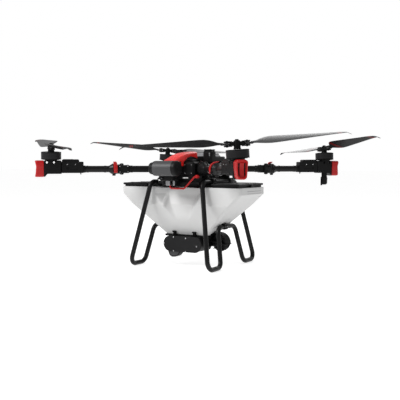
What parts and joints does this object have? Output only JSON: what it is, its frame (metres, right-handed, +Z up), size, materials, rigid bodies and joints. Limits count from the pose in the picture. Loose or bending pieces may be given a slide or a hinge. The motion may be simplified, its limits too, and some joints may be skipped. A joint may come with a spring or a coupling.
{
  "type": "agricultural spreader drone",
  "caption": "Folding-arm agricultural drone with twin-blade rotors, red nose hood, radar, white granule hopper, feeder with upright spreading discs and tube landing gear",
  "frame": {"origin": "on the ground, under the middle of the drone's box at rest", "axes": "+X is the drone's left-to-right axis with its nose pointing to -Y, and +Z is up"},
  "size_m": [2.252, 2.0294, 0.8076],
  "materials": {
    "black_plastic": "fine-grained satin black moulded plastic",
    "carbon": "satin black carbon-fibre composite",
    "dark_metal": "dark grey anodised, satin",
    "grey_plastic": "satin mid-grey moulded plastic",
    "light_grey": "satin light grey moulded plastic",
    "red_plastic": "semi-gloss red moulded plastic",
    "white_plastic": "smooth white rotomoulded polyethylene",
    "steel": "brushed"
  },
  "bodies": {
    "base": {"main_frame": "black_plastic", "nose_hood": "red_plastic", "radar": "grey_plastic", "front_sensor": "black_plastic", "hopper": "white_plastic", "feeder_housing": "black_plastic", "front_cover": "grey_plastic", "disc_guard_L": "black_plastic", "disc_guard_R": "black_plastic", "landing_gear_L": "carbon", "landing_gear_R": "carbon", "inner_arm_FR": "black_plastic", "inner_arm_FL": "black_plastic", "inner_arm_RR": "black_plastic", "inner_arm_RL": "black_plastic"},
    "outer_arm_FR": {"outer_arm_FR": "black_plastic", "esc_box_FR": "black_plastic", "motor_mount_FR": "black_plastic", "bumper_FR": "red_plastic"},
    "latch_FR": {"latch_FR": "red_plastic"},
    "rotor_FR": {"motor_bell_FR": "dark_metal", "rotor_hub_FR": "black_plastic"},
    "blade_a_FR": {"blade_a_FR": "carbon"},
    "blade_b_FR": {"blade_b_FR": "carbon"},
    "outer_arm_FL": {"outer_arm_FL": "black_plastic", "esc_box_FL": "black_plastic", "motor_mount_FL": "black_plastic", "bumper_FL": "red_plastic"},
    "latch_FL": {"latch_FL": "red_plastic"},
    "rotor_FL": {"motor_bell_FL": "dark_metal", "rotor_hub_FL": "black_plastic"},
    "blade_a_FL": {"blade_a_FL": "carbon"},
    "blade_b_FL": {"blade_b_FL": "carbon"},
    "outer_arm_RR": {"outer_arm_RR": "black_plastic", "esc_box_RR": "black_plastic", "motor_mount_RR": "black_plastic", "bumper_RR": "red_plastic", "spray_pod_RR": "black_plastic"},
    "latch_RR": {"latch_RR": "red_plastic"},
    "rotor_RR": {"motor_bell_RR": "dark_metal", "rotor_hub_RR": "black_plastic"},
    "blade_a_RR": {"blade_a_RR": "carbon"},
    "blade_b_RR": {"blade_b_RR": "carbon"},
    "outer_arm_RL": {"outer_arm_RL": "black_plastic", "esc_box_RL": "black_plastic", "motor_mount_RL": "black_plastic", "bumper_RL": "red_plastic", "spray_pod_RL": "black_plastic"},
    "latch_RL": {"latch_RL": "red_plastic"},
    "rotor_RL": {"motor_bell_RL": "dark_metal", "rotor_hub_RL": "black_plastic"},
    "blade_a_RL": {"blade_a_RL": "carbon"},
    "blade_b_RL": {"blade_b_RL": "carbon"},
    "battery": {"battery": "light_grey"},
    "lid_R": {"hopper_lid_R": "black_plastic"},
    "lid_L": {"hopper_lid_L": "black_plastic"},
    "feed_roller": {"feed_roller": "steel"},
    "disc_R": {"spreading_disc_R": "dark_metal"},
    "disc_L": {"spreading_disc_L": "dark_metal"},
    "release_bar": {"release_bar": "red_plastic"}
  },
  "joints": [
    {"name": "arm_fold_FR", "type": "hinge", "parent": "base", "child": "outer_arm_FR", "pos_m": [0.35525, -0.30994, 0.609], "axis": [0, 0, 1], "range_deg": [0, 135]},
    {"name": "latch_FR_turn", "type": "hinge", "parent": "outer_arm_FR", "child": "latch_FR", "pos_m": [0.33652, -0.39616, 0.59188], "axis": [0.6996, -0.7145, 0], "range_deg": [0, 75]},
    {"name": "rotor_FR_spin", "type": "hinge", "parent": "outer_arm_FR", "child": "rotor_FR", "pos_m": [0.633, -0.6465, 0.744], "axis": [-0.0498, -0.0488, 0.9976], "continuous": true},
    {"name": "blade_a_FR_fold", "type": "hinge", "parent": "rotor_FR", "child": "blade_a_FR", "pos_m": [0.67498, -0.61603, 0.74759], "axis": [0.0498, 0.0488, -0.9976], "range_deg": [-70, 70]},
    {"name": "blade_b_FR_fold", "type": "hinge", "parent": "rotor_FR", "child": "blade_b_FR", "pos_m": [0.59102, -0.67697, 0.74041], "axis": [-0.0498, -0.0488, 0.9976], "range_deg": [-70, 70]},
    {"name": "arm_fold_FL", "type": "hinge", "parent": "base", "child": "outer_arm_FL", "pos_m": [-0.35525, -0.30994, 0.609], "axis": [0, 0, -1], "range_deg": [0, 135]},
    {"name": "latch_FL_turn", "type": "hinge", "parent": "outer_arm_FL", "child": "latch_FL", "pos_m": [-0.33652, -0.39616, 0.59188], "axis": [0.6996, 0.7145, 0], "range_deg": [0, 75]},
    {"name": "rotor_FL_spin", "type": "hinge", "parent": "outer_arm_FL", "child": "rotor_FL", "pos_m": [-0.633, -0.6465, 0.744], "axis": [-0.0498, 0.0488, -0.9976], "continuous": true},
    {"name": "blade_a_FL_fold", "type": "hinge", "parent": "rotor_FL", "child": "blade_a_FL", "pos_m": [-0.67366, -0.61429, 0.74761], "axis": [0.0498, -0.0488, 0.9976], "range_deg": [-70, 70]},
    {"name": "blade_b_FL_fold", "type": "hinge", "parent": "rotor_FL", "child": "blade_b_FL", "pos_m": [-0.59234, -0.67871, 0.74039], "axis": [-0.0498, 0.0488, -0.9976], "range_deg": [-70, 70]},
    {"name": "arm_fold_RR", "type": "hinge", "parent": "base", "child": "outer_arm_RR", "pos_m": [0.35525, 0.30994, 0.609], "axis": [0, 0, 1], "range_deg": [-105, 0]},
    {"name": "latch_RR_turn", "type": "hinge", "parent": "outer_arm_RR", "child": "latch_RR", "pos_m": [0.33652, 0.39616, 0.59188], "axis": [-0.6996, -0.7145, 0], "range_deg": [0, 75]},
    {"name": "rotor_RR_spin", "type": "hinge", "parent": "outer_arm_RR", "child": "rotor_RR", "pos_m": [0.633, 0.6465, 0.744], "axis": [0.0498, -0.0488, -0.9976], "continuous": true},
    {"name": "blade_a_RR_fold", "type": "hinge", "parent": "rotor_RR", "child": "blade_a_RR", "pos_m": [0.67366, 0.61429, 0.74761], "axis": [0.0498, -0.0488, -0.9976], "range_deg": [-70, 70]},
    {"name": "blade_b_RR_fold", "type": "hinge", "parent": "rotor_RR", "child": "blade_b_RR", "pos_m": [0.59233, 0.67871, 0.74039], "axis": [-0.0498, 0.0488, 0.9976], "range_deg": [-70, 70]},
    {"name": "arm_fold_RL", "type": "hinge", "parent": "base", "child": "outer_arm_RL", "pos_m": [-0.35525, 0.30994, 0.609], "axis": [0, 0, -1], "range_deg": [-105, 0]},
    {"name": "latch_RL_turn", "type": "hinge", "parent": "outer_arm_RL", "child": "latch_RL", "pos_m": [-0.33652, 0.39616, 0.59188], "axis": [-0.6996, 0.7145, 0], "range_deg": [0, 75]},
    {"name": "rotor_RL_spin", "type": "hinge", "parent": "outer_arm_RL", "child": "rotor_RL", "pos_m": [-0.633, 0.6465, 0.744], "axis": [0.0498, 0.0488, 0.9976], "continuous": true},
    {"name": "blade_a_RL_fold", "type": "hinge", "parent": "rotor_RL", "child": "blade_a_RL", "pos_m": [-0.67498, 0.61603, 0.74759], "axis": [0.0498, 0.0488, 0.9976], "range_deg": [-70, 70]},
    {"name": "blade_b_RL_fold", "type": "hinge", "parent": "rotor_RL", "child": "blade_b_RL", "pos_m": [-0.59102, 0.67697, 0.74041], "axis": [-0.0498, -0.0488, -0.9976], "range_deg": [-70, 70]},
    {"name": "battery_lift", "type": "slide", "parent": "base", "child": "battery", "axis": [0, 0, 1], "range_m": [0, 0.2]},
    {"name": "lid_R_hinge", "type": "hinge", "parent": "base", "child": "lid_R", "pos_m": [0.23, -0.04, 0.514], "axis": [0, 1, 0], "range_deg": [-60, 0]},
    {"name": "lid_L_hinge", "type": "hinge", "parent": "base", "child": "lid_L", "pos_m": [-0.23, -0.04, 0.514], "axis": [0, -1, 0], "range_deg": [-60, 0]},
    {"name": "feed_roller_spin", "type": "hinge", "parent": "base", "child": "feed_roller", "pos_m": [0, -0.0455, 0.145], "axis": [1, 0, 0], "continuous": true},
    {"name": "disc_R_spin", "type": "hinge", "parent": "base", "child": "disc_R", "pos_m": [0.1965, -0.04, 0.147], "axis": [0, 1, 0], "continuous": true},
    {"name": "disc_L_spin", "type": "hinge", "parent": "base", "child": "disc_L", "pos_m": [-0.178, 0.055, 0.097], "axis": [0, 1, 0], "continuous": true},
    {"name": "release_bar_swing", "type": "hinge", "parent": "base", "child": "release_bar", "pos_m": [0.16, -0.2515, 0.565], "axis": [0, -1, 0], "range_deg": [0, 40]}
  ]
}
